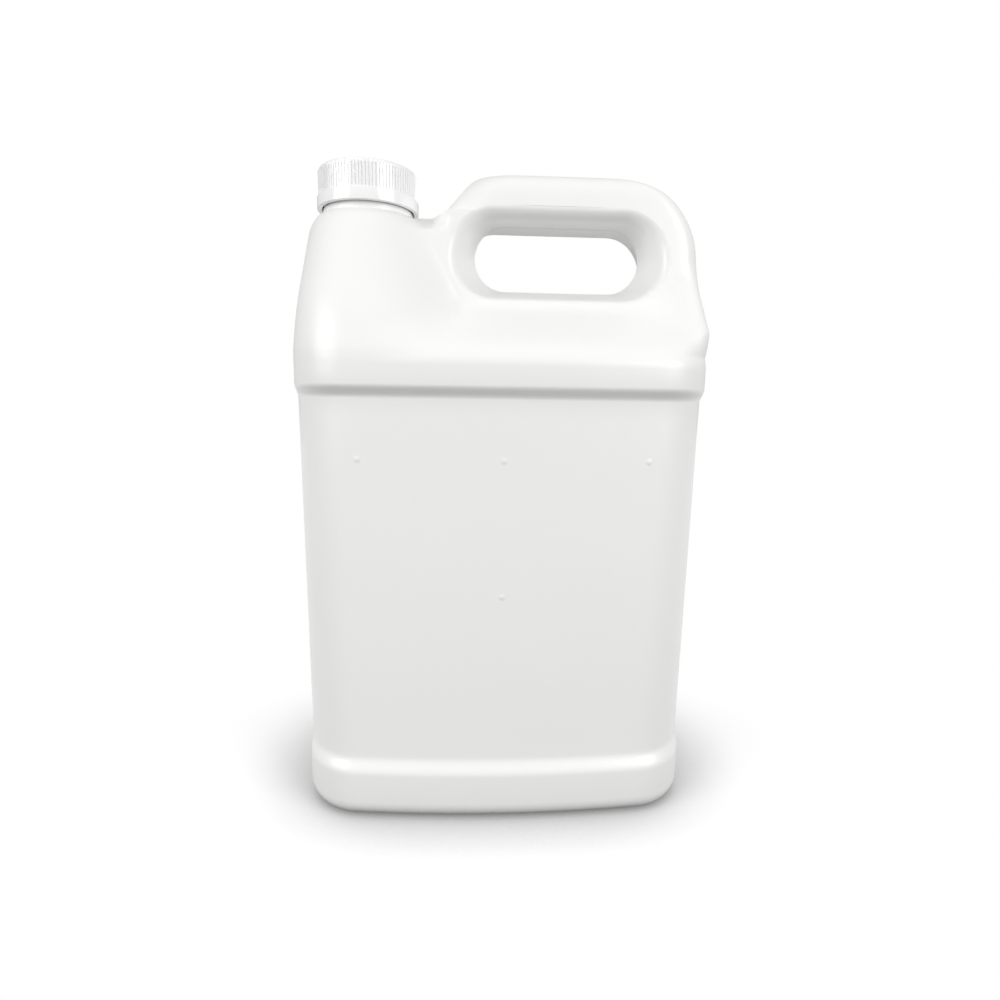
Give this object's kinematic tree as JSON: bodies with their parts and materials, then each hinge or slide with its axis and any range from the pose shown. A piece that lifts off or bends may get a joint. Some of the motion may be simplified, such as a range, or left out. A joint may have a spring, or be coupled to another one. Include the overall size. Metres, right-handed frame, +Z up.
{
  "type": "plastic jug",
  "caption": "Oblong blow-moulded jug with a hollow grip moulded in beside the neck, a stepped label panel and a ribbed screw cap with a sealing wad.",
  "frame": {"origin": "middle of the base, on the surface that the jug stands on", "axes": "+Z up, +X from the neck to the grip's end, +Y to the back; the two halves of the mould meet in the plane y = 0"},
  "size_m": [0.189, 0.118, 0.3012],
  "materials": {
    "jug_white": "satin opaque white polyethylene",
    "cap_white": "smooth opaque white polypropylene",
    "liner_foam": "matt white foam"
  },
  "bodies": {
    "jug": {"jug_body": "jug_white"},
    "wad": {"cap_liner": "liner_foam"},
    "screw_cap": {"cap": "cap_white"}
  },
  "joints": [
    {"name": "cap_lift", "type": "slide", "parent": "jug", "child": "wad", "axis": [0, 0, 1], "range_m": [0, 0.00529]},
    {"name": "cap_turn", "type": "hinge", "parent": "wad", "child": "screw_cap", "pos_m": [-0.064, 0, 0.29], "axis": [0, 0, 1], "range_deg": [0, 450]}
  ],
  "couplings": [
    {"joint": "cap_turn", "follows": "cap_lift", "rad_per_m": 1484.3}
  ]
}
